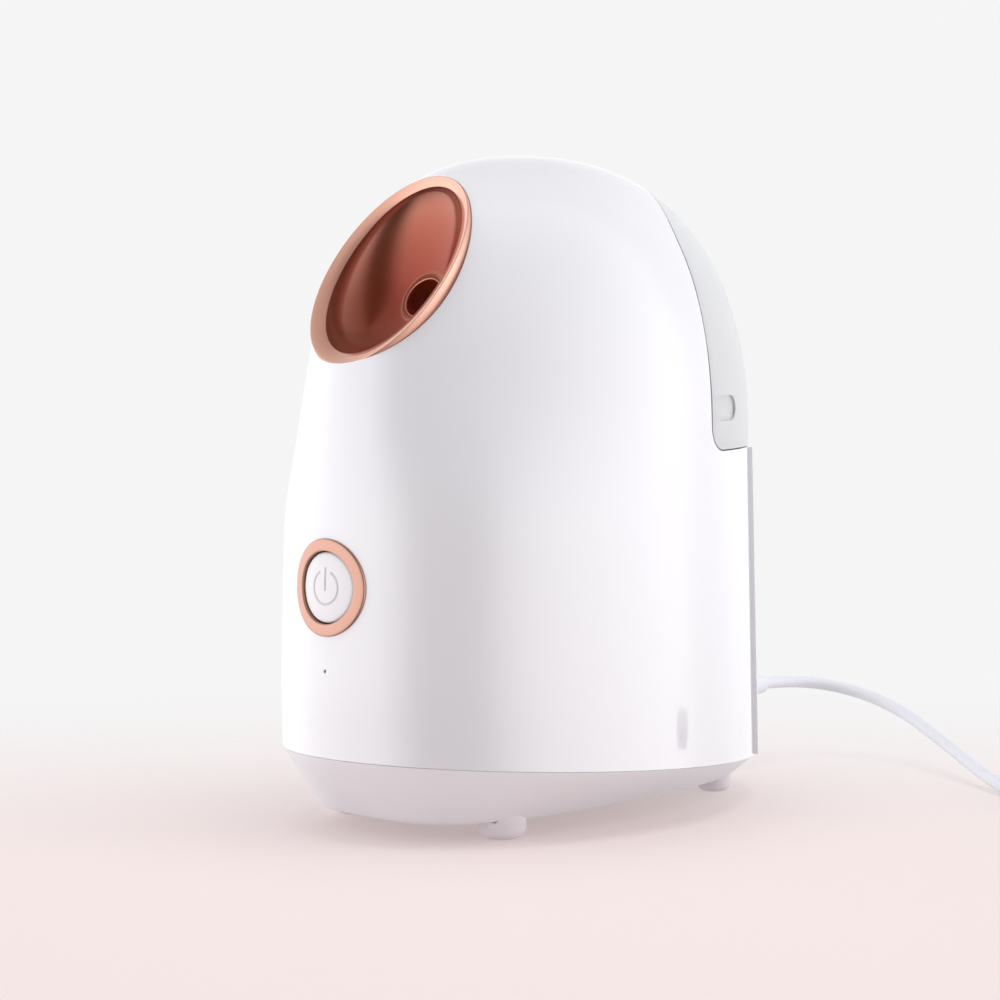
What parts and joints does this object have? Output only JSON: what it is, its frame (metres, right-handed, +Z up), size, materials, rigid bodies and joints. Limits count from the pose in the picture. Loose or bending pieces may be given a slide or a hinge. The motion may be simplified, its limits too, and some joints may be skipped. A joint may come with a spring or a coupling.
{
  "type": "facial steamer",
  "caption": "Domed tabletop facial steamer with a trumpet nozzle, push button, lift-off back water tank, inner boiler and mains lead.",
  "frame": {"origin": "centre of the plane that the feet stand on", "axes": "+Z up, -Y is the front with the nozzle and button, +X the left hand of the machine"},
  "size_m": [0.269, 0.2782, 0.2101],
  "materials": {
    "shell_white": "high gloss moulded",
    "pan_white": "satin moulded",
    "rose_gold": "polished plating",
    "tank_frost": "frosted translucent plastic",
    "foot_rubber": "soft matte",
    "silicone": "translucent silicone",
    "inner_plastic": "moulded",
    "steel": "zinc plated",
    "boiler_alloy": "cast",
    "bracket_steel": "galvanised",
    "circuit_board": "solder mask",
    "black_part": "moulded",
    "plunger_part": "moulded",
    "lens": "clear",
    "lead_white": "soft satin PVC",
    "pin_metal": "nickel plated"
  },
  "bodies": {
    "housing": {"base_pan": "pan_white", "base_screws": "steel", "board_screws": "steel", "boiler_bracket": "bracket_steel", "boiler_cup": "boiler_alloy", "boiler_gasket": "silicone", "boiler_lid": "inner_plastic", "boiler_screws": "steel", "bracket_screws": "steel", "button_ring": "rose_gold", "clamp_screws": "steel", "control_board": "circuit_board", "control_chip": "black_part", "cord_clamp": "inner_plastic", "cord_coil": "lead_white", "feed_hose": "silicone", "feed_spigot": "inner_plastic", "filter_capacitor": "black_part", "front_feet": "foot_rubber", "fuse_clip": "steel", "heater_plate": "boiler_alloy", "hose_clips": "steel", "inlet_sleeve": "inner_plastic", "inner_lead": "lead_white", "light_pipe": "lens", "main_shell": "shell_white", "neck_seal": "silicone", "nozzle_trumpet": "rose_gold", "plug_body": "lead_white", "plug_lead": "lead_white", "plug_pins": "pin_metal", "power_board": "circuit_board", "power_board_screws": "steel", "power_cord": "lead_white", "power_led": "lens", "rear_feet": "foot_rubber", "rear_panel": "shell_white", "relay": "black_part", "spigot_seal": "silicone", "steam_hose": "silicone", "strain_relief": "lead_white", "switch_body": "black_part", "tank_bay_liner": "inner_plastic", "terminal_block": "black_part", "thermal_fuse": "lens", "thermostat": "steel"},
    "button": {"power_button": "shell_white"},
    "switch_button": {"switch_plunger": "plunger_part"},
    "tank": {"water_tank": "tank_frost", "tank_front_plate": "tank_frost", "valve_housing": "inner_plastic"},
    "valve": {"valve_plunger": "inner_plastic", "valve_spring": "steel"},
    "filler": {"fill_plug": "silicone"}
  },
  "joints": [
    {"name": "power_button_press", "type": "slide", "parent": "housing", "child": "button", "axis": [0, 1, 0], "range_m": [0, 0.0008], "stiffness_N_per_m": 2500},
    {"name": "switch_plunger_press", "type": "slide", "parent": "housing", "child": "switch_button", "axis": [0, 1, 0], "range_m": [0, 0.0008]},
    {"name": "tank_slide", "type": "slide", "parent": "housing", "child": "tank", "axis": [0, 1, 0], "range_m": [0, 0.09]},
    {"name": "valve_plunger_press", "type": "slide", "parent": "tank", "child": "valve", "axis": [0, 1, 0], "range_m": [0, 0.0015], "stiffness_N_per_m": 400, "deforming": ["valve_spring"]},
    {"name": "fill_plug_pull", "type": "slide", "parent": "tank", "child": "filler", "axis": [0, -1, 0], "range_m": [0, 0.012]}
  ],
  "couplings": [
    {"joint": "switch_plunger_press", "follows": "power_button_press", "ratio": 1}
  ]
}
